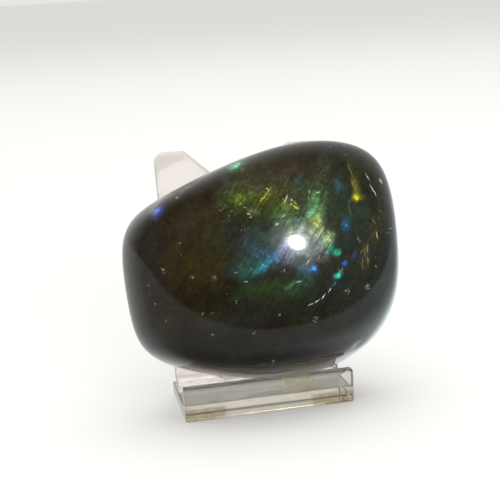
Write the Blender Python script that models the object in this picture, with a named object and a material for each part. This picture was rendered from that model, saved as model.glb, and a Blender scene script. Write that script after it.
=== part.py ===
"""A polished labradorite freeform leaning on a small clear plastic display stand.

Metres, +Z up, +Y to the back. The origin is the middle of the underside of the stand's base, where
it rests on the table, and the stone faces -Y.
"""

import math

import bmesh
import bpy
from mathutils import Matrix, Vector

# The stand: a base plate with a lip along its front edge and a plate that leans back behind it.
STAND_WIDTH = 0.0504
BASE_DEPTH = 0.0260
BASE_THICKNESS = 0.0040
LIP_HEIGHT = 0.0100
WALL = 0.0037
TROUGH = 0.0108
BACK_WIDTH = 0.0500
BACK_TOP = 0.0740
BACK_LEAN = math.radians(13.6)
EAR_WIDTH = 0.0090
EAR_RADIUS = 0.0024
NOTCH_ANGLE = math.radians(43.0)
NOTCH_RADIUS = 0.0030
WINDOW_WIDTH = 0.0260
WINDOW_BOTTOM = 0.0065
WINDOW_TOP = 0.0440
WINDOW_RADIUS = 0.0030
EDGE_RADIUS = 0.0005
PROFILE_RADIUS = 0.0008
TROUGH_RADIUS = 0.0006
NOTCH_EDGE_RADIUS = 0.0010

# The stone: flat ground faces that polishing has blended into one round body. Each face is the way
# it looks from the stone's middle (degrees anticlockwise from the right, degrees towards the
# viewer) and its distance from there.
STONE_MIDDLE = Vector((0.0013, 0.0020, 0.0320))
STONE_LEAN = math.radians(13.0)
STONE_ROUNDING = 8.0
RIM_FACES = (
    (-5, 0, 0.0690),
    (70, 0, 0.0525),
    (112, 0, 0.0390),
    (185, 0, 0.0440),
    (218, 0, 0.0635),
    (250, 0, 0.0280),
    (302, 0, 0.0375),
)
FRONT_FACES = (
    (0, 90, 0.0335),
    (0, 79, 0.0260),
    (90, 70, 0.0290),
    (180, 68, 0.0325),
    (270, 83, 0.0260),
    (0, 9, 0.0430),
    (90, 57, 0.0490),
    (180, 30, 0.0395),
    (270, 18, 0.0245),
    (225, 30, 0.0365),
    (315, 13, 0.0370),
)
BACK_FACES = (
    (0, -90, 0.0057),
    (0, -50, 0.0310),
    (90, -50, 0.0295),
    (180, -50, 0.0300),
    (270, -50, 0.0345),
)
# The pebble that the faces were ground on: half its width and height, and its depth each way.
PEBBLE_WIDTH = 0.075
PEBBLE_HEIGHT = 0.070
PEBBLE_FRONT = 0.034
PEBBLE_BACK = 0.010
# Hand grinding leaves the surface a little uneven: slow swells, as a share of the stone's size.
SWELL = 0.0030
SWELL_COUNT = 5
SWELLS_ACROSS = 1.6
STONE_SUBDIVISIONS = 5


def clear_scene():
    for obj in list(bpy.data.objects):
        bpy.data.objects.remove(obj, do_unlink=True)


def rounded(corners, steps=4):
    """The outline through corners (x, y, radius), with an arc of that radius at each one."""
    points = []
    for i, (x, y, radius) in enumerate(corners):
        corner = Vector((x, y))
        before = (Vector(corners[i - 1][:2]) - corner).normalized()
        after = (Vector(corners[(i + 1) % len(corners)][:2]) - corner).normalized()
        if radius == 0:
            points.append(corner)
            continue
        half = before.angle(after) / 2
        middle = corner + (before + after).normalized() * radius / math.sin(half)
        start = corner + before * radius / math.tan(half) - middle
        turn = start.angle_signed(corner + after * radius / math.tan(half) - middle)
        for step in range(steps + 1):
            points.append(middle + Matrix.Rotation(-turn * step / steps, 2) @ start)
    return points


def slab(name, outlines, thickness, edge=EDGE_RADIUS):
    """A plate of this thickness with rounded edges. Its first outline is the rim, others are holes."""
    curve = bpy.data.curves.new(name, "CURVE")
    curve.dimensions = "2D"
    curve.fill_mode = "BOTH"
    curve.extrude = thickness / 2 - edge
    curve.bevel_depth = edge
    curve.bevel_resolution = 1
    curve.offset = -edge
    for outline in outlines:
        spline = curve.splines.new("POLY")
        spline.points.add(len(outline) - 1)
        spline.use_cyclic_u = True
        for target, point in zip(spline.points, outline):
            target.co = (point[0], point[1], 0, 1)
    helper = bpy.data.objects.new(name, curve)
    bpy.context.scene.collection.objects.link(helper)
    bpy.context.view_layer.update()
    mesh = bpy.data.meshes.new_from_object(helper.evaluated_get(bpy.context.evaluated_depsgraph_get()))
    bpy.data.objects.remove(helper, do_unlink=True)
    bm = bmesh.new()
    bm.from_mesh(mesh)
    bmesh.ops.remove_doubles(bm, verts=bm.verts, dist=1e-6)
    bmesh.ops.recalc_face_normals(bm, faces=bm.faces)
    bm.to_mesh(mesh)
    bm.free()
    return mesh


def add(name, mesh, material=None):
    obj = bpy.data.objects.new(name, mesh)
    bpy.context.scene.collection.objects.link(obj)
    if material:
        mesh.materials.clear()
        mesh.materials.append(material)
    return obj


def clear_plastic():
    material = bpy.data.materials.new("clear_plastic")
    material.use_nodes = True
    shader = material.node_tree.nodes["Principled BSDF"]
    shader.inputs["Base Color"].default_value = (0.90, 0.91, 0.87, 1)
    shader.inputs["Roughness"].default_value = 0.04
    shader.inputs["Metallic"].default_value = 0
    shader.inputs["IOR"].default_value = 1.49
    shader.inputs["Transmission Weight"].default_value = 1
    return material


def polished_labradorite():
    material = bpy.data.materials.new("polished_labradorite")
    material.use_nodes = True
    shader = material.node_tree.nodes["Principled BSDF"]
    shader.inputs["Base Color"].default_value = (0.028, 0.026, 0.018, 1)
    shader.inputs["Roughness"].default_value = 0.08
    shader.inputs["Metallic"].default_value = 0
    shader.inputs["IOR"].default_value = 1.56
    return material


def base_with_lip():
    """The base plate and its lip: one profile, seen from the side, carried across the width."""
    front, back = -BASE_DEPTH / 2, BASE_DEPTH / 2
    profile = rounded((
        (front, 0, PROFILE_RADIUS),
        (back, 0, PROFILE_RADIUS),
        (back, BASE_THICKNESS, PROFILE_RADIUS),
        (front + WALL, BASE_THICKNESS, TROUGH_RADIUS),
        (front + WALL, LIP_HEIGHT, PROFILE_RADIUS),
        (front, LIP_HEIGHT, PROFILE_RADIUS),
    ))
    mesh = slab("base", [profile], STAND_WIDTH)
    across = Matrix(((0, 0, 1, 0), (1, 0, 0, 0), (0, 1, 0, 0), (0, 0, 0, 1)))
    mesh.transform(across)
    return mesh


def back_plate():
    """The leaning plate, drawn flat with its foot at y = 0: two ears, a V notch and a window."""
    slope = 1 / math.cos(BACK_LEAN)
    top = BACK_TOP * slope
    half = BACK_WIDTH / 2
    inner = half - EAR_WIDTH
    notch = top - inner * math.tan(NOTCH_ANGLE) * slope
    foot = BASE_THICKNESS / 2
    rim = rounded((
        (-half, foot, 0),
        (half, foot, 0),
        (half, top, EAR_RADIUS),
        (inner, top, NOTCH_EDGE_RADIUS),
        (0, notch, NOTCH_RADIUS),
        (-inner, top, NOTCH_EDGE_RADIUS),
        (-half, top, EAR_RADIUS),
    ))
    side, low, high = WINDOW_WIDTH / 2, WINDOW_BOTTOM * slope, WINDOW_TOP * slope
    window = rounded((
        (-side, low, WINDOW_RADIUS),
        (side, low, WINDOW_RADIUS),
        (side, high, WINDOW_RADIUS),
        (-side, high, WINDOW_RADIUS),
    ))
    mesh = slab("back", [rim, window], WALL)
    # Front face on the line from which the lean starts, behind the trough that holds the stone.
    stand_up = Matrix.Rotation(math.radians(90) - BACK_LEAN, 4, "X")
    mesh.transform(Matrix.Translation((0, 0, -WALL / 2)))
    mesh.transform(stand_up)
    mesh.transform(Matrix.Translation((0, -BASE_DEPTH / 2 + WALL + TROUGH, 0)))
    return mesh


def make_stand():
    stand = add("stand", base_with_lip(), clear_plastic())
    plate = add("stand_back", back_plate())
    plate.hide_render = True
    plate.display_type = "WIRE"
    join = stand.modifiers.new("back plate", "BOOLEAN")
    join.operation = "UNION"
    join.solver = "EXACT"
    join.object = plate
    stand.data.shade_smooth()
    stand.data.set_sharp_from_angle(angle=math.radians(35))
    return stand


def facing(around, towards):
    """The unit vector at these angles, in the stone's own axes: right, up and towards the viewer."""
    a, t = math.radians(around), math.radians(towards)
    return Vector((math.cos(t) * math.cos(a), math.cos(t) * math.sin(a), math.sin(t)))


def swell(direction):
    """Slow waves whose crests face evenly spread ways, by the golden angle."""
    golden = math.pi * (3 - math.sqrt(5))
    total = 0
    for i in range(SWELL_COUNT):
        height = 1 - (2 * i + 1) / SWELL_COUNT
        ring = math.sqrt(1 - height * height)
        crest = Vector((ring * math.cos(golden * i), ring * math.sin(golden * i), height))
        total += math.sin(SWELLS_ACROSS * math.pi * direction.dot(crest) + 2 * i)
    return SWELL * total


def make_stone():
    """A ball whose points move out to the soft minimum of the faces' distances."""
    faces = [
        (facing(around, towards), reach)
        for around, towards, reach in RIM_FACES + FRONT_FACES + BACK_FACES
    ]
    mesh = bpy.data.meshes.new("stone")
    bm = bmesh.new()
    bmesh.ops.create_icosphere(bm, subdivisions=STONE_SUBDIVISIONS, radius=1)
    for vert in bm.verts:
        way = vert.co.normalized()
        depth = PEBBLE_FRONT if way.z > 0 else PEBBLE_BACK
        pebble = Vector((way.x / PEBBLE_WIDTH, way.y / PEBBLE_HEIGHT, way.z / depth)).length
        near = pebble ** STONE_ROUNDING
        near += sum(max(0, way.dot(face) / reach) ** STONE_ROUNDING for face, reach in faces)
        vert.co = way * near ** (-1 / STONE_ROUNDING) * (1 + swell(way))
    # Right, up and towards the viewer become X, the leaning Z and the leaning -Y.
    up = Vector((0, math.sin(STONE_LEAN), math.cos(STONE_LEAN)))
    front = Vector((0, -math.cos(STONE_LEAN), math.sin(STONE_LEAN)))
    turn = Matrix((Vector((1, 0, 0)), up, front)).transposed()
    bm.transform(turn.to_4x4())
    bm.to_mesh(mesh)
    bm.free()
    mesh.shade_smooth()
    stone = add("stone", mesh, polished_labradorite())
    stone.location = STONE_MIDDLE
    return stone


clear_scene()
make_stand()
make_stone()
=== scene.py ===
import math

import bpy
import numpy as np
from mathutils import Matrix


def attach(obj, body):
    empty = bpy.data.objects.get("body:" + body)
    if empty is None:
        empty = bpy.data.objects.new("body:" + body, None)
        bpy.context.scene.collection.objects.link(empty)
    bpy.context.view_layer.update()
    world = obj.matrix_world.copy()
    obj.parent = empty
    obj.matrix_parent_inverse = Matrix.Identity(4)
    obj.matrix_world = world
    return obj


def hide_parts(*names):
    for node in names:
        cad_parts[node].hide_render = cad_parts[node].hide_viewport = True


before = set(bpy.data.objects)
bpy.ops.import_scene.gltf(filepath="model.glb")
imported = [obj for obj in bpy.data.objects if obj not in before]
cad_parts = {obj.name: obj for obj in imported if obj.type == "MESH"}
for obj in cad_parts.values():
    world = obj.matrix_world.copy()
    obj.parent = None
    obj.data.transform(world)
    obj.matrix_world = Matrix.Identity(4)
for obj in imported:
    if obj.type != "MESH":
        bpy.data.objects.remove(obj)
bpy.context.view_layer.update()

# The stone: one piece of labradorite, a dark feldspar, ground flat on the back and domed in front,
# then polished all over. Its shape is the soft minimum of flat faces, as grinding leaves it, and it
# leans back on the stand. Lengths are in millimetres in the stone's own axes: across, up, forwards.
STONE_MIDDLE = np.array([1.3, 2.0, 32.0])
STONE_LEAN = math.radians(13.0)
STONE_ROUNDING = 8.0
RIM_FACES = [(-5, 0, 69.0), (70, 0, 52.5), (112, 0, 39.0), (185, 0, 44.0), (218, 0, 63.5),
             (250, 0, 28.0), (302, 0, 37.5)]
FRONT_FACES = [(0, 90, 33.5), (0, 79, 26.0), (90, 70, 29.0), (180, 68, 32.5), (270, 83, 26.0),
               (0, 9, 43.0), (90, 57, 49.0), (180, 30, 39.5), (270, 18, 24.5), (225, 30, 36.5),
               (315, 13, 37.0)]
BACK_FACES = [(0, -90, 5.7), (0, -50, 31.0), (90, -50, 29.5), (180, -50, 30.0), (270, -50, 34.5)]
PEBBLE = np.array([75.0, 70.0])
PEBBLE_FRONT, PEBBLE_BACK = 34.0, 10.0
SWELL, SWELL_COUNT, SWELLS_ACROSS = 0.0030, 5, 1.6
# The grid that covers it is a box seen from the middle, with more cells on the broad faces.
GRID_BOX = np.array([1.00, 0.88, 0.52])
GRID_BROAD, GRID_NARROW = 160, 64
# The layers that give the flash run up to the right by this many degrees.
LAYER_SLOPE = 52
# Chips in the polish: across, up, forwards, half length, half width, turn in degrees, depth. The
# last one is a low swell at the foot.
CHIPS = [
    (-19.9, 33.4, 11.2, 1.6, 0.7, 35, 0.35),
    (-22.2, 31.7, 12.8, 1.3, 0.4, 60, 0.22),
    (-30.4, 28.4, 10.0, 3.2, 0.9, 42, 0.30),
    (-5.0, -19.5, 18.0, 1.2, 0.8, 10, 0.20),
    (24.5, -17.0, 16.0, 2.4, 1.4, 30, 0.35),
    (-5.0, -25.5, 9.0, 13.0, 6.0, 3, -0.5),
]


def linear(hex_colour):
    """An sRGB hex colour as linear red, green, blue and a full alpha: a power of 2.4 above a short
    straight stretch near black."""
    parts = np.array([int(hex_colour[i:i + 2], 16) / 255 for i in (0, 2, 4)])
    low = parts / 12.92
    high = ((parts + 0.055) / 1.055) ** 2.4
    return (*np.where(parts <= 0.04045, low, high), 1.0)


def add_node(tree, kind, inputs=None, out=0, **settings):
    """Adds a node and returns one of its outputs. Settings are its properties; inputs are its
    sockets, each given a value or another node's output."""
    made = tree.nodes.new(kind)
    for name, value in settings.items():
        setattr(made, name, value)
    for key, value in (inputs or {}).items():
        if isinstance(value, bpy.types.NodeSocket):
            tree.links.new(value, made.inputs[key])
        else:
            made.inputs[key].default_value = value
    return made.outputs[out]


def piece_from(name, points, quads):
    """A smooth piece from points in millimetres and quads, in the row's frame."""
    mesh = bpy.data.meshes.new(name)
    mesh.from_pydata((points / 1000).tolist(), [], quads.tolist())
    mesh.shade_smooth()
    piece = bpy.data.objects.new(name, mesh)
    bpy.context.scene.collection.objects.link(piece)
    return piece


def box_directions():
    """Directions from the middle through an even grid on each side of a box, and the quads between
    them. Points on the box's edges are shared, so the surface is closed."""
    points, quads, start = [], [], 0
    for axis in range(3):
        counts = [GRID_BROAD, GRID_BROAD, GRID_NARROW]
        first, second = (axis + 1) % 3, (axis + 2) % 3
        a = np.linspace(-1, 1, counts[first] + 1)
        b = np.linspace(-1, 1, counts[second] + 1)
        across, along = np.meshgrid(a, b, indexing="ij")
        index = np.arange(across.size).reshape(across.shape)
        for side in (-1, 1):
            grid = np.zeros((across.size, 3))
            grid[:, axis] = side
            grid[:, first] = across.ravel()
            grid[:, second] = along.ravel()
            ring = np.stack([index[:-1, :-1], index[1:, :-1], index[1:, 1:], index[:-1, 1:]], -1)
            ring = ring.reshape(-1, 4)
            quads.append(start + (ring if side > 0 else ring[:, ::-1]))
            points.append(grid)
            start += across.size
    points, quads = np.concatenate(points), np.concatenate(quads)
    _, keep, shared = np.unique(np.round(points * 1e6).astype(int), axis=0,
                                return_index=True, return_inverse=True)
    ways = points[keep] * GRID_BOX
    return ways / np.linalg.norm(ways, axis=1, keepdims=True), shared.ravel()[quads]


def ground_stone(ways):
    """Each direction's point on the stone. A flat face at distance r, facing n, is at r / (way . n)
    along a direction; the surface is at the power mean of these over all faces, with a pebble
    (an ellipsoid) among them, so it is flat where one face leads and round where they meet."""
    around, towards, reach = np.array(RIM_FACES + FRONT_FACES + BACK_FACES, float).T
    around, towards = np.radians(around), np.radians(towards)
    facing = np.stack([np.cos(towards) * np.cos(around), np.cos(towards) * np.sin(around),
                       np.sin(towards)])
    depth = np.where(ways[:, 2] > 0, PEBBLE_FRONT, PEBBLE_BACK)
    pebble = np.linalg.norm(np.c_[ways[:, :2] / PEBBLE, ways[:, 2] / depth], axis=1)
    near = pebble ** STONE_ROUNDING
    near += (np.maximum(0, ways @ facing / reach) ** STONE_ROUNDING).sum(1)
    # Hand grinding leaves slow swells, whose crests face ways spread by the golden angle.
    golden = math.pi * (3 - math.sqrt(5))
    swell = np.zeros(len(ways))
    for i in range(SWELL_COUNT):
        height = 1 - (2 * i + 1) / SWELL_COUNT
        ring = math.sqrt(1 - height * height)
        crest = np.array([ring * math.cos(golden * i), ring * math.sin(golden * i), height])
        swell += np.sin(SWELLS_ACROSS * math.pi * ways @ crest + 2 * i)
    size = near ** (-1 / STONE_ROUNDING) * (1 + SWELL * swell)
    return ways * size[:, None]


def soft_noise(points, cell, seed):
    """Random values from -1 to 1 on a cubic lattice of this cell, blended between its corners by
    the weights 3t^2 - 2t^3."""
    count = 64
    lattice = np.random.default_rng(seed).uniform(-1, 1, (count, count, count))
    low = np.floor(points / cell)
    part = points / cell - low
    part = part * part * (3 - 2 * part)
    low = low.astype(int) % (count - 1)
    total = np.zeros(len(points))
    for corner in np.ndindex(2, 2, 2):
        weight = np.where(corner, part, 1 - part).prod(1)
        total += weight * lattice[tuple((low + corner).T)]
    return total


def bell(points, across, up, forwards, length, width, turn, bend=(0, 0)):
    """1 at a spot's middle and falling as exp(-d squared) over an ellipse that is turned in the
    stone's face, and over its size in depth. Bend moves its rim, as a share of its size."""
    away = points - (across, up, forwards)
    cos, sin = math.cos(math.radians(turn)), math.sin(math.radians(turn))
    along = (away[:, 0] * cos + away[:, 1] * sin) / length + bend[0]
    aside = (away[:, 1] * cos - away[:, 0] * sin) / width + bend[1]
    deep = away[:, 2] / (1.5 * max(length, width, 1))
    return np.exp(-along ** 2 - aside ** 2 - deep ** 2)


def stone_to_frame(points):
    """The stone's own axes turned into the row's: up and forwards lean back by STONE_LEAN."""
    cos, sin = math.cos(STONE_LEAN), math.sin(STONE_LEAN)
    turn = np.array([[1, 0, 0], [0, sin, cos], [0, -cos, sin]])
    return points @ turn + STONE_MIDDLE


ways, stone_quads = box_directions()
stone_points = ground_stone(ways)
for *spot, depth in CHIPS:
    stone_points -= ways * depth * bell(stone_points, *spot)[:, None]
stone = piece_from("polished_stone", stone_to_frame(stone_points), stone_quads)

# Labradorite's flash: light sent back by thin layers inside the stone, painted in soft patches of
# colour over its brown and olive body. A few pale blue-grey, lavender and green spots round the
# lamp's highlight are painted glow of that highlight, not flash. Each: across, up, half length,
# half width, turn in degrees, strength, colour. The later ones lie over the earlier ones.
FLASH_AND_HIGHLIGHT_GLOW = [
    (31.0, 3.0, 9.0, 15.0, 0, 0.75, "222827"), (6.9, 22.0, 17.2, 10, 0, 0.55, "2b2c1d"),
    (23.0, 20.5, 11.7, 6.1, 85, 0.75, "232c20"), (7.1, 0.3, 13.3, 3.6, 8, 0.75, "1c2618"),
    (-5.3, 13.3, 9.4, 4.7, 28, 0.7, "27322f"), (22.3, 2.1, 6.7, 5.6, 40, 0.6, "1d211c"),
    (5.0, 26.4, 11.5, 4.6, -4, 0.65, "3c4620"), (-2.5, 21.0, 6.5, 3.0, -8, 0.75, "161a12"),
    (6.9, 33.8, 8.3, 2.2, 8, 0.85, "3a2d25"), (-21.5, 21.6, 6.1, 4.4, 20, 0.7, "34291f"),
    (-33.0, 12.8, 2.5, 7.8, 0, 0.5, "33322d"), (-26.6, 12.1, 2.2, 6.1, 0, 0.6, "31241b"),
    (-20.5, 10.0, 5.5, 5.5, 0, 0.85, "2e2806"), (-15.6, 0.8, 6.4, 3.2, 0, 0.8, "160f06"),
    (-20.7, -11.5, 12.2, 4.4, -10, 0.8, "0d0d0b"), (3.0, -16.2, 16.7, 5.6, 5, 0.85, "0b0c0c"),
    (26.0, -11.3, 4.4, 7.2, -40, 0.75, "0f1112"), (-34.9, 2.3, 2.8, 8.3, 0, 0.6, "14120f"),
    (18.3, 33.1, 3.3, 2.5, 0, 0.6, "38341c"), (-8.8, 31.4, 2.5, 1.9, 20, 0.6, "2a3638"),
    (1.2, 31.4, 3.9, 1.7, 10, 0.5, "2f3022"), (-5.1, 27.0, 4.2, 2.3, -30, 0.8, "434f20"),
    (-7.2, 27.8, 1.7, 1.1, 20, 0.6, "5d7020"), (-3.8, 23.8, 1.7, 1.1, 0, 0.5, "4c5a34"),
    (1.6, 26.9, 2.8, 1.6, 35, 0.8, "41430e"), (1.4, 28.7, 1.8, 0.83, 45, 0.6, "6a6a1c"),
    (1.6, 31.0, 6.5, 1.8, -3, 0.55, "44442c"), (1.7, 22.7, 2.2, 1.7, 0, 0.6, "333709"),
    (6.0, 23.4, 2.6, 2.2, 50, 0.75, "506230"), (5.1, 20.2, 2.8, 2.2, 45, 0.8, "42582a"),
    (6.5, 17.8, 1.7, 0.83, 40, 0.6, "7c8a42"), (10.2, 26.2, 1.4, 1.7, 0, 0.7, "2a2009"),
    (11.6, 31.0, 0.8, 1.1, 80, 0.6, "33504a"), (15.6, 26.9, 2.2, 1.5, 70, 0.7, "474f2a"),
    (13.9, 21.6, 5.6, 2.0, 66, 0.6, "56764a"), (14.0, 22.4, 2.2, 1.5, 66, 0.9, "5e9860"),
    (12.5, 22.3, 1.7, 0.83, 60, 0.6, "578e74"), (13.2, 19.4, 1.7, 1.0, 50, 0.9, "8a8e20"),
    (14.4, 18.3, 1.4, 0.56, 60, 0.8, "c2c67c"), (15.6, 15.2, 2.2, 1.4, -35, 0.9, "96a776"),
    (17.3, 13.9, 1.7, 0.83, 52, 0.85, "aecb92"), (16.0, 11.2, 1.7, 1.4, 0, 0.5, "51605a"),
    # The four spots on the next two lines are painted glow round the lamp's highlight, not flash.
    (11.8, 12.8, 2.5, 1.9, 0, 0.75, "7f9090"), (5.6, 10.3, 3.1, 1.4, 20, 0.7, "4b545c"),
    (3.6, 12.7, 1.8, 0.8, 50, 0.8, "98a2cc"), (2.0, 11.6, 1.5, 0.7, 40, 0.55, "6a7aa4"),
    (-4.7, 13.5, 4.2, 2.5, 30, 0.8, "2b3d46"), (-1.2, 16.0, 3.1, 2.2, 0, 0.6, "28382c"),
    (-2.6, 11.9, 2.2, 1.1, 40, 0.8, "2b4c60"), (0.7, 10.6, 2.2, 1.0, 34, 0.8, "3a6484"),
    (-2.1, 8.8, 2.1, 0.89, 40, 0.95, "2b7688"), (-4.8, 7.7, 2.5, 1, 35, 0.85, "2c686a"),
    (-7.3, 8.3, 2.5, 1.7, 40, 0.75, "25493f"), (-7.5, 6.9, 1.7, 0.6, 30, 0.65, "2a5a50"),
    (-11.8, 5.2, 3.0, 1.5, 10, 0.75, "0f0f08"), (-5.2, 4.6, 3.6, 1.1, 8, 0.65, "121a14"),
    (9.5, 6.2, 1.9, 1.4, 42, 0.7, "3c6276"), (7.3, 2.3, 3.6, 1.7, 25, 0.75, "28462e"),
    (4.4, 2.3, 1.7, 0.5, 30, 0.5, "437a58"), (-3.6, 2.6, 3.6, 1.7, 10, 0.75, "283b13"),
    (1.4, 0.9, 3.3, 1.7, 0, 0.6, "26331c"), (11.8, 6.6, 0.8, 0.75, 0, 0.8, "1f4888"),
    (11.9, 6.3, 0.5, 0.42, 60, 1, "48a8ee"), (23.0, 23.3, 5.5, 3.4, 90, 0.6, "202d22"),
    (22.2, 29.3, 1.5, 0.85, 80, 0.6, "2a5260"), (27.3, 31.6, 3.0, 1.0, 96, 0.55, "403d14"),
    (27.6, 28.3, 2.4, 0.8, 96, 0.65, "6c6a1c"), (27.3, 25.2, 0.75, 0.68, 0, 1, "d6cc08"),
    (28.8, 25.2, 0.7, 0.83, 90, 0.8, "7b7500"), (28.2, 21.5, 3.3, 3.3, 0, 0.6, "27352b"),
    (27.6, 8.0, 3.0, 1.1, 82, 0.5, "4a4230"), (22.9, 17.7, 1.4, 0.75, 80, 0.85, "27648c"),
    (31.8, 15.4, 3.1, 1.7, 90, 0.55, "3c381e"), (25.0, 6.9, 3.3, 2.5, 90, 0.5, "302c22"),
    (17.9, 11.7, 0.8, 0.56, 40, 0.8, "1a9a70"), (19.2, 10.2, 0.7, 0.58, 20, 1, "28d8b0"),
    (16.7, 10.5, 0.4, 0.42, 0, 0.8, "35a894"), (24.3, 8.9, 0.6, 0.5, 45, 0.55, "29398c"),
    (21.2, 7.0, 0.6, 0.5, 0, 0.95, "2a5cb4"), (18.8, 3.7, 0.8, 0.5, 15, 1, "34c8b8"),
    (18.2, 0.5, 2.5, 1.7, 0, 0.6, "1b2932"), (22.9, 12.5, 2.5, 2.2, 0, 0.5, "1e2a22"),
    (20.2, -3.4, 3.9, 2.5, 20, 0.6, "1d2312"), (11.1, -4.6, 5.6, 2.2, 0, 0.6, "15170e"),
    (-2.5, -3.6, 5.6, 2.5, 0, 0.6, "15150f"), (-29.4, 26.6, 1.2, 0.83, 50, 0.95, "5a6bd4"),
    (-30.3, 26.8, 0.8, 0.42, 50, 0.7, "4a9a80"), (-30.4, 24.9, 0.9, 0.83, 0, 0.5, "484e50"),
    (-5.7, 37.5, 1.7, 0.58, 20, 1, "86dcae"), (-6.3, 36.4, 1.4, 0.44, 20, 0.6, "2a5c34"),
    (-23.6, 30.0, 0.4, 0.28, 30, 0.8, "b08050"), (-4.1, 36.3, 0.8, 0.33, 40, 0.5, "7a4a38"),
    (13.5, 8.4, 0.7, 0.28, 40, 0.6, "7a4a38"), (-10.6, -5.5, 5.6, 1.9, 0, 0.4, "24262a"),
    # The four spots on the next two lines are painted glow round the lamp's highlight, not flash.
    (11.0, 18.5, 1.4, 2.5, 40, 0.5, "55704c"), (8.6, 15.9, 4.2, 3.4, 0, 0.3, "6c7a74"),
    (10.0, 17.4, 1.7, 1.1, 20, 0.6, "9aaa98"), (5.5, 11.7, 1.9, 1.1, 40, 0.5, "8a94b4"),
]
BACK_FLASH = [
    (8.0, 20.0, 12.0, 5.0, 50, 0.5, "22404a"), (-6.0, 8.0, 9.0, 4.0, 60, 0.5, "2c4a2c"),
    (16.0, 2.0, 7.0, 3.0, 40, 0.5, "2c5068"), (-20.0, 14.0, 6.0, 4.0, 30, 0.4, "3a4020"),
    (2.0, -12.0, 9.0, 3.0, 20, 0.4, "233a36"),
]
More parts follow.
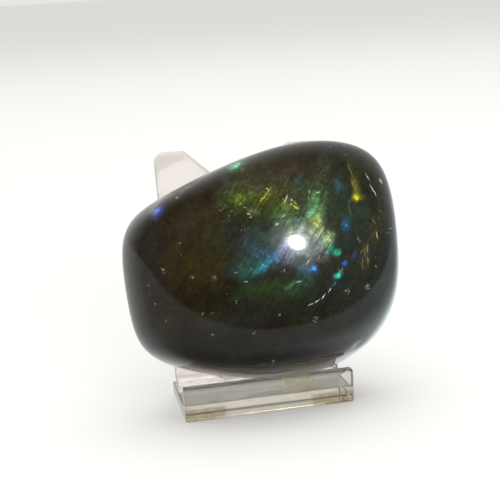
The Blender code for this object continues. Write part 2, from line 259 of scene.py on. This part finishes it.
# Hair cracks and bright fibres, in the same order of numbers. One pale glint, and the white along
# one crack, are painted light.
HAIRS = [
    (0.7, 28.2, 2.8, 0.14, 45, 0.8, "a8a850"), (2.3, 29.8, 1.1, 0.19, 45, 0.7, "c8c880"),
    (6.4, 26.6, 1.7, 0.22, 57, 0.8, "c4c8a0"), (5.0, 25.3, 0.8, 0.19, 57, 0.5, "a8b080"),
    (-3.6, 29.1, 1.4, 0.14, 27, 0.5, "8a9a48"), (-5.7, 28.5, 1.1, 0.14, 20, 0.4, "8a9a58"),
    (9.0, 25.2, 1.2, 0.19, -60, 0.7, "b8b068"), (9.2, 23.8, 0.6, 0.39, 0, 1, "d4d240"),
    (7.9, 26.1, 0.3, 0.33, 0, 1, "f0f0e0"), (16.0, 27.6, 0.8, 0.22, 15, 0.8, "b0c8a8"),
    (13.6, 28.0, 0.8, 0.22, 60, 0.7, "b09a68"), (2.7, 19.7, 0.6, 0.33, 20, 0.9, "c8e0c8"),
    (4.9, 21.9, 0.6, 0.25, 40, 0.6, "90c8b0"), (27.0, 33.0, 2.5, 0.17, -78, 0.6, "8c8a68"),
    (26.9, 29.2, 1.7, 0.14, -84, 0.6, "a8a870"), (24.7, 22.4, 2.8, 0.11, 88, 0.45, "8a9070"),
    (32.0, 30.8, 1.7, 0.14, -68, 0.9, "c8c8c0"), (33.0, 26.9, 2.2, 0.14, -66, 1, "e0e0d8"),
    # The first spot on the next line, a pale yellow oval, is a painted glint.
    (36.3, 29.4, 1.0, 0.36, -70, 1, "c4c494"), (32.2, 13.9, 1.4, 0.25, -82, 0.8, "a8a680"),
    (28.7, 10.4, 1.4, 0.22, 80, 0.7, "8c8a62"), (26.9, 9.7, 0.9, 0.19, 50, 0.6, "8a8454"),
    (26.6, 5.9, 1.9, 0.25, 88, 0.5, "6c6646"), (31.8, 18.0, 1.4, 0.17, -60, 0.5, "9aa090"),
    # The last spot on the next line and the four after it draw a real crack; its white is painted
    # light that the fracture inside sends back.
    (26.1, 13.6, 0.8, 0.17, 80, 0.6, "90a090"), (17.5, 1.5, 1.0, 0.11, 48, 0.6, "a0a0a8"),
    (15.9, -0.1, 1.0, 0.12, 49, 0.9, "e0e0d0"), (13.9, -1.7, 1.1, 0.14, 46, 1, "f0f0e4"),
    (11.9, -2.8, 1.0, 0.12, 34, 0.9, "e0e0d4"), (9.9, -3.5, 1.0, 0.11, 16, 0.8, "c8c8bc"),
    (7.1, 3.2, 1.0, 0.19, 10, 0.9, "b4c08a"), (-8.1, 4.8, 0.7, 0.17, 0, 0.9, "c8d0c0"),
    (-10.5, 7.6, 0.6, 0.14, 0, 0.6, "a0a090"), (37.4, 15.4, 1.1, 0.097, 0, 0.6, "a8a8a8"),
    (36.1, 14.2, 1.4, 0.083, 0, 0.4, "9a9a9a"), (13.7, 9.5, 1.0, 0.17, 55, 0.6, "b89888"),
    (10.3, 8.4, 1.1, 0.17, 40, 0.6, "c8d8a0"), (-6.6, 27.8, 1.1, 0.14, 60, 0.4, "8aa048"),
    (-8.0, 26.2, 1.1, 0.14, 80, 0.35, "7a8a48"), (-2.7, 23.7, 1.1, 0.14, -40, 0.35, "7a8458"),
    (13.4, 16.6, 1.7, 0.14, 52, 0.5, "20281c"), (14.8, 15.3, 1.9, 0.17, 52, 0.6, "1c2420"),
    (16.1, 14.3, 1.9, 0.14, 54, 0.5, "20281c"), (11.8, 17.6, 1.4, 0.14, 52, 0.4, "30401c"),
    (15.6, 17.2, 1.4, 0.11, 52, 0.5, "e0e4b0"), (17.2, 15.3, 1.4, 0.14, -48, 0.4, "202820"),
    (26.5, 37.9, 0.8, 0.11, 20, 0.4, "8a8a80"), (-6.9, 26.4, 0.5, 0.2, 50, 0.8, "b4b428"),
    (-5.6, 25.4, 0.7, 0.16, -30, 0.8, "a8a424"), (-4.9, 23.4, 0.4, 0.25, 0, 0.8, "b0b460"),
    (-4.4, 22.4, 0.4, 0.25, 0, 0.7, "a0a870"), (-0.8, 27.0, 0.8, 0.2, 60, 0.8, "b0ac20"),
    (1.6, 30.0, 0.6, 0.14, -20, 0.8, "d0d088"), (5.8, 26.0, 0.9, 0.2, -70, 0.8, "b8b440"),
    (7.6, 24.8, 0.7, 0.22, 40, 0.8, "c8c430"), (8.6, 24.2, 0.5, 0.22, -30, 0.9, "e0dc50"),
    (12.9, 26.4, 0.9, 0.2, 76, 0.6, "8c8c30"), (-9.6, 24.6, 0.6, 0.14, 20, 0.6, "98a060"),
    (27.8, 9.6, 1.8, 0.16, 84, 0.6, "8a7c58"), (26.9, 7.4, 2.0, 0.16, 78, 0.55, "786c4a"),
    (28.4, 7.0, 1.4, 0.16, 96, 0.6, "9a9068"), (-21.0, 32.4, 2.2, 0.16, 35, 0.8, "0a0806"),
    (-19.8, 32.6, 1.0, 0.14, -60, 0.7, "0a0806"), (-30.0, 28.8, 2.4, 0.14, 20, 0.7, "0a0806"),
]
# Clusters of pale specks: across, up, size, strength. Each fades out over a little more than that.
SPECK_SPREAD = 1.35
SPECKS = [
    (-29.8, 10.1, 0.7, 1.0), (-34.1, 6.2, 0.4, 0.8), (-34.0, 4.2, 0.6, 0.7),
    (-32.8, 1.0, 0.4, 0.9), (-30.3, -3.7, 0.6, 0.9), (-34.6, -4.9, 0.6, 0.5),
    (-20.6, -2.7, 0.4, 1.0), (-18.2, -3.0, 0.4, 1.0), (-11.2, -0.7, 0.4, 1.0),
    (-18.5, -9.0, 0.6, 0.8), (-6.9, -9.8, 0.6, 0.7), (-1.7, -18.3, 0.4, 1.0),
    (-22.3, 7.5, 0.5, 1.0), (-16.6, 7.0, 0.6, 1.0), (3.0, 6.8, 0.5, 1.0), (0.8, -5.4, 0.4, 1.0),
    (-7.1, -2.3, 0.4, 0.7), (10.8, -7.7, 0.9, 0.8), (22.8, 40.8, 0.4, 0.9), (27.4, 41.2, 0.4, 0.9),
    (21.4, -1.0, 0.9, 0.9), (27.4, -0.5, 0.9, 0.9), (30.8, 4.9, 0.6, 0.8), (19.9, 5.2, 0.6, 0.9),
    (31.1, 7.4, 0.6, 0.6), (-24.7, 17.2, 0.4, 0.8), (-24.8, 13.6, 0.4, 0.8),
    (-10.5, 23.0, 1.7, 0.5), (-12.0, 26.0, 1.1, 0.6), (-4.5, 23.3, 1.1, 0.6),
    (-6.5, 19.3, 1.7, 0.4), (8.0, 25.6, 1.4, 0.6), (19.0, 32.4, 1.4, 0.4), (26.6, 13.0, 1.4, 0.5),
    (34.2, 20.4, 0.8, 0.6), (33.6, 18.7, 0.6, 0.7), (13.4, 9.2, 1.1, 0.5),
]
# The front is what lies over 2 mm forwards of the middle, and the back what lies behind it.
front, back = stone_points[:, 2] > 2, stone_points[:, 2] < 0
bend = np.array([0.45 * soft_noise(stone_points, 4.0, seed)
                 + 0.25 * soft_noise(stone_points, 1.7, seed + 9) for seed in (1, 2)])
tint, cover = np.zeros((len(stone_points), 3)), np.zeros(len(stone_points))
for side, spots in ((front, FLASH_AND_HIGHLIGHT_GLOW), (back, BACK_FLASH)):
    surface = stone_points[side]
    for across, up, length, width, turn, strength, shade in spots:
        nearest = np.argmin(np.hypot(surface[:, 0] - across, surface[:, 1] - up))
        # Small spots stay round and sharp, and wide ones are spread and ragged.
        wide = min(1, width / 1.5)
        spread = 1.1 + 0.25 * wide
        share = strength * bell(stone_points, across, up, surface[nearest, 2], spread * length,
                                spread * width, turn, wide * bend)
        tint = tint * (1 - share[:, None]) + share[:, None] * linear(shade)[:3]
        cover = cover * (1 - share) + share
specked = np.zeros(len(stone_points))
surface = stone_points[front]
for across, up, size, strength in SPECKS:
    nearest = np.argmin(np.hypot(surface[:, 0] - across, surface[:, 1] - up))
    place, size = (across, up, surface[nearest, 2]), SPECK_SPREAD * size
    specked = np.maximum(specked, strength * bell(stone_points, *place, size, size, 0))
# The flash and the painted glow round the highlight go onto the stone as one colour attribute.
layer = stone.data.attributes.new("flash_and_highlight_glow", "FLOAT_COLOR", "POINT")
layer.data.foreach_set("color", np.c_[tint / np.maximum(cover, 1e-6)[:, None], cover].ravel())
layer = stone.data.attributes.new("specks", "FLOAT", "POINT")
layer.data.foreach_set("value", specked)
layer = stone.data.attributes.new("front", "FLOAT", "POINT")
layer.data.foreach_set("value", front.astype(float))


def polished_labradorite():
    """Feldspar, polished to a glassy gloss: nearly black, olive and brown inside, streaked along
    its layers, with soft coloured flash under the polish and pale flecks and hair cracks in it.
    The flash is painted into its colour, with a painted glow round the lamp's highlight, and one
    glint and the white along one crack are painted light too."""
    material = bpy.data.materials.new("polished_labradorite")
    material.use_nodes = True
    tree = material.node_tree
    shader = tree.nodes["Principled BSDF"]

    # Object coordinates in millimetres, in the stone's own axes.
    cos, sin = math.cos(STONE_LEAN), math.sin(STONE_LEAN)
    turn = np.array([[1, 0, 0], [0, sin, cos], [0, -cos, sin]])
    inside = add_node(tree, "ShaderNodeMapping", {
        "Vector": add_node(tree, "ShaderNodeTexCoord", out="Object"),
        "Location": tuple(-turn @ STONE_MIDDLE),
        "Rotation": (STONE_LEAN - math.pi / 2, 0, 0), "Scale": (1000, 1000, 1000)})
    # The layers' streaks are 12 times as long as wide.
    along = add_node(tree, "ShaderNodeMapping", {
        "Vector": inside, "Rotation": (0, 0, math.radians(-LAYER_SLOPE))})
    layered = add_node(tree, "ShaderNodeMapping", {"Vector": along, "Scale": (0.10, 1.2, 0.4)})
    grain = {}
    for name, vector, per_mm, detail in (
            ("cloud", inside, 0.10, 5.0), ("blotch", inside, 0.30, 5.0),
            ("crumb", inside, 0.75, 6.0), ("grit", inside, 1.9, 3.0),
            ("layers", layered, 1.0, 6.0)):
        grain[name] = add_node(tree, "ShaderNodeTexNoise", {
            "Vector": vector, "Scale": per_mm, "Detail": detail, "Roughness": 0.62})
    # Each grain's range of values, and what it is turned into.
    shares = {}
    for name, source, low, high, to_low, to_high in (
            ("brown", "cloud", 0.40, 0.60, 0.0, 1.0), ("ragged", "blotch", 0.34, 0.60, 0.62, 1.0),
            ("mottle", "crumb", 0.34, 0.66, 0.60, 1.45),
            ("streak", "layers", 0.38, 0.58, 0.60, 1.20),
            ("sparkle", "grit", 0.36, 0.66, 0.82, 1.28), ("dull", "crumb", 0.30, 0.70, 0.30, 0.45)):
        shares[name] = add_node(tree, "ShaderNodeMapRange", {
            "Value": grain[source], "From Min": low, "From Max": high, "To Min": to_low,
            "To Max": to_high}, interpolation_type="SMOOTHSTEP")

    colour = add_node(tree, "ShaderNodeMix", {
        "Factor": shares["brown"], 6: linear("1b1308"), 7: linear("221e0b")}, 2, data_type="RGBA")
    # Over the body: the flash, with the painted glow round the lamp's highlight in it.
    flash_and_highlight_glow = add_node(tree, "ShaderNodeAttribute", out="Color", attribute_name="flash_and_highlight_glow")
    cover = add_node(tree, "ShaderNodeAttribute", out="Alpha", attribute_name="flash_and_highlight_glow")
    share = add_node(tree, "ShaderNodeMath", {0: cover, 1: shares["ragged"]}, operation="MULTIPLY")
    colour = add_node(tree, "ShaderNodeMix", {"Factor": share, 6: colour, 7: flash_and_highlight_glow}, 2,
                      data_type="RGBA")
    uneven = add_node(tree, "ShaderNodeMath", {0: shares["mottle"], 1: shares["streak"]},
                      operation="MULTIPLY")
    uneven = add_node(tree, "ShaderNodeMath", {0: uneven, 1: shares["sparkle"]},
                      operation="MULTIPLY")
    # The dark body is only a little uneven; bright flash, which comes from its layers, much more.
    bright = add_node(tree, "ShaderNodeMapRange", {
        "Value": add_node(tree, "ShaderNodeRGBToBW", {"Color": colour}), "From Min": 0.015,
        "From Max": 0.07, "To Min": 0.35})
    uneven = add_node(tree, "ShaderNodeMix", {0: bright, 2: 1.0, 3: uneven})
    colour = add_node(tree, "ShaderNodeVectorMath", {0: colour, "Scale": uneven},
                      operation="SCALE")

    # Hair cracks: each is the inside of a long thin ellipse, bent a little by noise.
    wander = add_node(tree, "ShaderNodeTexNoise", {"Vector": inside, "Scale": 0.9, "Detail": 3.0},
                      "Color")
    crooked = add_node(tree, "ShaderNodeVectorMath", {0: wander, 1: (0.7, 0.7, 0.0), 2: inside},
                       operation="MULTIPLY_ADD")
    crooked = add_node(tree, "ShaderNodeVectorMath", {0: crooked, 1: (0.35, 0.35, 0.0)},
                       operation="SUBTRACT")
    flat = add_node(tree, "ShaderNodeVectorMath", {0: crooked, 1: (1, 1, 0)}, operation="MULTIPLY")
    # They show on the front only, and are broken into dots.
    dotted = add_node(tree, "ShaderNodeMapRange", {
        "Value": grain["grit"], "From Min": 0.38, "From Max": 0.56, "To Min": 0.35})
    shown = add_node(tree, "ShaderNodeMath", {
        0: dotted, 1: add_node(tree, "ShaderNodeAttribute", out="Fac", attribute_name="front")},
        operation="MULTIPLY")
    for across, up, length, width, angle, strength, shade in HAIRS:
        local = add_node(tree, "ShaderNodeMapping", {
            "Vector": flat, "Location": (across, up, 0), "Rotation": (0, 0, math.radians(angle)),
            "Scale": (1.2 * length, 1.4 * width, 1)}, vector_type="TEXTURE")
        away = add_node(tree, "ShaderNodeVectorMath", {0: local}, "Value", operation="LENGTH")
        share = add_node(tree, "ShaderNodeMapRange", {
            "Value": away, "From Min": 1.0, "From Max": 0.2, "To Max": strength},
            interpolation_type="SMOOTHSTEP")
        share = add_node(tree, "ShaderNodeMath", {0: share, 1: shown}, operation="MULTIPLY")
        colour = add_node(tree, "ShaderNodeMix", {"Factor": share, 6: colour, 7: linear(shade)}, 2,
                          data_type="RGBA")

    # Pale specks, where the grit is coarsest and in the clusters.
    clusters = add_node(tree, "ShaderNodeAttribute", out="Fac", attribute_name="specks")
    grit = add_node(tree, "ShaderNodeMath", {0: clusters, 1: 0.30, 2: grain["grit"]},
                    operation="MULTIPLY_ADD")
    share = add_node(tree, "ShaderNodeMapRange", {
        "Value": grit, "From Min": 0.69, "From Max": 0.82, "To Max": 0.6},
        interpolation_type="SMOOTHSTEP")
    colour = add_node(tree, "ShaderNodeMix", {"Factor": share, 6: colour, 7: linear("928d84")}, 2,
                      data_type="RGBA")

    tree.links.new(colour, shader.inputs["Base Color"])
    bump = add_node(tree, "ShaderNodeBump", {"Height": grain["layers"], "Strength": 0.2,
                                             "Distance": 0.0002})
    tree.links.new(bump, shader.inputs["Normal"])
    tree.links.new(shares["dull"], shader.inputs["Roughness"])
    shader.inputs["Specular IOR Level"].default_value = 0.05
    shader.inputs["IOR"].default_value = 1.56
    shader.inputs["Coat Weight"].default_value = 1.0
    shader.inputs["Coat Roughness"].default_value = 0.06
    shader.inputs["Coat IOR"].default_value = 1.52
    return material


stone.data.materials.append(polished_labradorite())
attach(stone, "root")
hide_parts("stone")

# The stand: a small easel of clear acrylic, moulded in one piece, with a lip in front, a base, and
# a leaning back plate with two ears, a notch and a window. Its faces are glossy, and it is slightly
# yellowed, so light that comes a long way through it turns tan.
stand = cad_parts["stand"]
# The lip's front is pale, tan at both ends and clearest in the middle, and there is old glue inside
# it. The tan ends are painted shade of the table seen through the plastic, and the clear white
# middle is a painted reflection of the pale backdrop. Each patch, in millimetres: its middle, half
# its size, colour, roughness.
PATCHES = [
    ((0.0, -13.0, 5.0), (27.0, 0.4, 6.5), "f2f6ee", 0.02),
    # The next two tan patches are painted shade of the table seen through the lip.
    ((-19.4, -13.0, 2.0), (6.3, 0.4, 2.1), "b8a684", 0.02),
    ((18.8, -13.0, 2.0), (6.9, 0.4, 2.1), "b8a684", 0.02),
    # This white middle is a painted reflection of the pale backdrop.
    ((-2.0, -13.0, 3.2), (11.0, 0.4, 3.3), "ffffff", 0.02),
    ((8.5, -9.3, 7.2), (4.4, 0.4, 2.4), "d6cf9e", 0.60),
]


def moulded_acrylic():
    """Clear acrylic, moulded: it bends light as plastic does and takes a little blue out of it.
    A trace of haze makes it paler than glass, and a patch of old glue shows inside the lip. Its
    colour also carries painted shade, tan at the lip's ends, and a painted reflection, white in the
    lip's middle."""
    material = bpy.data.materials.new("moulded_clear_acrylic")
    material.use_nodes = True
    tree = material.node_tree
    shader = tree.nodes["Principled BSDF"]
    shader.inputs["Transmission Weight"].default_value = 0.94
    shader.inputs["IOR"].default_value = 1.49
    place = add_node(tree, "ShaderNodeTexCoord", out="Object")
    edges = add_node(tree, "ShaderNodeTexNoise", {"Vector": place, "Scale": 900.0, "Detail": 3.0})
    patchy = add_node(tree, "ShaderNodeMapRange", {
        "Value": edges, "From Min": 0.35, "From Max": 0.55, "To Min": 0.5})
    colour, rough = linear("e0dcd9"), 0.02
    for middle, half_size, shade, dullness in PATCHES:
        local = add_node(tree, "ShaderNodeMapping", {
            "Vector": place, "Location": [x / 1000 for x in middle],
            "Scale": [x / 1000 for x in half_size]}, vector_type="TEXTURE")
        away = add_node(tree, "ShaderNodeVectorMath", {0: local}, operation="ABSOLUTE")
        sides = add_node(tree, "ShaderNodeSeparateXYZ", {"Vector": away})
        # How far the point is towards the patch's rim, along whichever axis is nearest to it.
        rim = add_node(tree, "ShaderNodeMath", {0: sides, 1: sides.node.outputs[1]},
                       operation="MAXIMUM")
        rim = add_node(tree, "ShaderNodeMath", {0: rim, 1: sides.node.outputs[2]},
                       operation="MAXIMUM")
        share = add_node(tree, "ShaderNodeMapRange", {
            "Value": rim, "From Min": 1.0, "From Max": 0.85, "To Max": patchy})
        colour = add_node(tree, "ShaderNodeMix", {"Factor": share, 6: colour, 7: linear(shade)}, 2,
                          data_type="RGBA")
        rough = add_node(tree, "ShaderNodeMix", {"Factor": share, 2: rough, 3: dullness})
    tree.links.new(colour, shader.inputs["Base Color"])
    tree.links.new(rough, shader.inputs["Roughness"])
    volume = add_node(tree, "ShaderNodeVolumeAbsorption", {
        "Color": (0.84, 0.81, 0.75, 1.0), "Density": 80.0})
    tree.links.new(volume, tree.nodes["Material Output"].inputs["Volume"])
    return material


stand.data.materials.clear()
stand.data.materials.append(moulded_acrylic())
# Light passes through clear plastic, so it throws no shadow on the floor under it.
stand.visible_shadow = False

# The floor is plain and pale, a hair under the stand so that the plastic keeps its own underside.
FLOOR_SIZE = 60.0
FLOOR_DROP = 0.0001
floor_mesh = bpy.data.meshes.new("floor")
half = FLOOR_SIZE / 2
floor_mesh.from_pydata([(-half, -half, -FLOOR_DROP), (half, -half, -FLOOR_DROP),
                        (half, half, -FLOOR_DROP), (-half, half, -FLOOR_DROP)], [], [(0, 1, 2, 3)])
floor = bpy.data.objects.new("floor", floor_mesh)
bpy.context.scene.collection.objects.link(floor)
paper = bpy.data.materials.new("white_paper")
paper.use_nodes = True
paper_shader = paper.node_tree.nodes["Principled BSDF"]
paper_shader.inputs["Base Color"].default_value = linear("f4f3f0")
paper_shader.inputs["Roughness"].default_value = 0.9
paper_shader.inputs["Specular IOR Level"].default_value = 0.1
floor_mesh.materials.append(paper)
# Polish mirrors the sky's lower half in the floor's place, so the two may differ in brightness.
floor.visible_glossy = False

# Soft light from above, and one small bright lamp in front that makes the highlight.


def lamp(name, place, aim, size, power, colour="ffffff", seen=True):
    """An oval area lamp (width, height) at a place, facing a point. Unless it is seen, polish
    doesn't mirror it."""
    light = bpy.data.lights.new(name, "AREA")
    light.shape = "ELLIPSE"
    light.size, light.size_y = size
    light.energy = power
    light.color = linear(colour)[:3]
    lit = bpy.data.objects.new(name, light)
    way = np.array(place) - np.array(aim)
    lit.location = place
    lit.rotation_euler = (math.atan2(math.hypot(way[0], way[1]), way[2]), 0,
                          math.atan2(way[1], way[0]) + math.pi / 2)
    lit.visible_glossy = seen
    bpy.context.scene.collection.objects.link(lit)


# The lamp in front is a bright bulb in a wider, dimmer bowl, so the highlight fades at its rim. It
# is tall, and stands where the polish mirrors it to the camera.
HIGHLIGHT = np.array([0.0090, -0.0163, 0.0509])
LAMP_WAY = np.array([0.357, -0.846, 0.397])
LAMP_DISTANCE, LAMP_TALL = 0.9, 3.1
for name, width, power, shade in (("bulb", 0.034, 0.60, "fffaf2"), ("bowl", 0.060, 0.20, "f4f6ff"),
                                  ("bowl_rim", 0.12, 0.16, "e6ecff")):
    lamp(name, HIGHLIGHT + LAMP_DISTANCE * LAMP_WAY, HIGHLIGHT, (width, LAMP_TALL * width), power,
         shade)
lamp("overhead", (0.1, 0.15, 1.6), (0, 0.1, 0.0), (2.4, 2.4), 13.0, seen=False)
lamp("front_fill", (0.25, -1.3, 0.22), (0, 0, 0.04), (0.6, 0.6), 8.0, seen=False)

world = bpy.data.worlds.new("studio")
bpy.context.scene.world = world
world.use_nodes = True
sky = world.node_tree
direction = add_node(sky, "ShaderNodeTexCoord", out="Generated")
east = add_node(sky, "ShaderNodeSeparateXYZ", {"Vector": direction})
north, height = east.node.outputs[1], east.node.outputs[2]
# Above: dark on the camera's side, and light behind the stone.
depth = add_node(sky, "ShaderNodeVectorMath", {0: direction, 1: (0.35, 0.9, 0.1)}, "Value",
                 operation="DOT_PRODUCT")
above = add_node(sky, "ShaderNodeMapRange", {
    "Value": depth, "From Min": -0.2, "From Max": 0.75, "To Min": 0.03, "To Max": 0.85},
    interpolation_type="SMOOTHSTEP")
# Below: the table as the polish mirrors it, dim in front and bright to the right.
table = add_node(sky, "ShaderNodeMapRange", {
    "Value": east, "From Min": 0.2, "From Max": 0.9, "To Max": 1.8},
    interpolation_type="SMOOTHSTEP")
low = add_node(sky, "ShaderNodeMapRange", {
    "Value": height, "From Min": -0.15, "From Max": -0.5, "To Min": 0.2})
shaded = add_node(sky, "ShaderNodeMapRange", {
    "Value": height, "From Min": -0.55, "From Max": -0.9, "To Min": 0.40, "To Max": 0.15})
table = add_node(sky, "ShaderNodeMath", {0: table, 1: low, 2: shaded}, operation="MULTIPLY_ADD")
far = add_node(sky, "ShaderNodeMapRange", {
    "Value": north, "From Min": 0.2, "From Max": 0.7, "To Max": 0.4})
table = add_node(sky, "ShaderNodeMath", {0: table, 1: far}, operation="ADD")
under = add_node(sky, "ShaderNodeMapRange", {
    "Value": height, "From Min": 0.015, "From Max": -0.015})
shade = add_node(sky, "ShaderNodeMix", {"Factor": under, 2: above, 3: table})
blue = add_node(sky, "ShaderNodeMapRange", {"Value": east, "From Min": 0.0, "From Max": 0.8})
cast = add_node(sky, "ShaderNodeMix", {"Factor": blue, 6: (1.0, 1.0, 0.99, 1),
                                       7: (0.90, 1.0, 1.04, 1)}, 2, data_type="RGBA")
shade = add_node(sky, "ShaderNodeVectorMath", {0: cast, "Scale": shade}, operation="SCALE")
# Only polish mirrors that room. The backdrop itself is plain and pale, and lights all sides.
mirrored = add_node(sky, "ShaderNodeLightPath", out="Is Glossy Ray")
shade = add_node(sky, "ShaderNodeMix", {"Factor": mirrored, 6: (0.80, 0.80, 0.79, 1), 7: shade}, 2,
                 data_type="RGBA")
sky.links.new(shade, sky.nodes["Background"].inputs["Color"])
sky.nodes["Background"].inputs["Strength"].default_value = 1.0

# The camera stands where the photograph was taken from, tipped by 3.2 degrees.
CAMERA_PLACE = np.array([-0.0609, -0.3074, 0.1206])
CAMERA_AIM = np.array([-0.0008, 0.0020, 0.0455])
CAMERA_TIP = math.radians(-3.2)
LENS = 79.2
ahead = (CAMERA_AIM - CAMERA_PLACE) / np.linalg.norm(CAMERA_AIM - CAMERA_PLACE)
level = np.cross(ahead, (0, 0, 1))
level /= np.linalg.norm(level)
right = level * math.cos(CAMERA_TIP) + np.cross(level, ahead) * math.sin(CAMERA_TIP)
camera = bpy.data.objects.new("camera", bpy.data.cameras.new("camera"))
camera.data.lens = LENS
camera.data.clip_start = 0.01
bpy.context.scene.collection.objects.link(camera)
pose = np.eye(4)
pose[:3] = np.c_[right, np.cross(right, ahead), -ahead, CAMERA_PLACE]
camera.matrix_world = Matrix(pose.tolist())
bpy.context.scene.camera = camera
bpy.context.scene.view_settings.view_transform = "Standard"
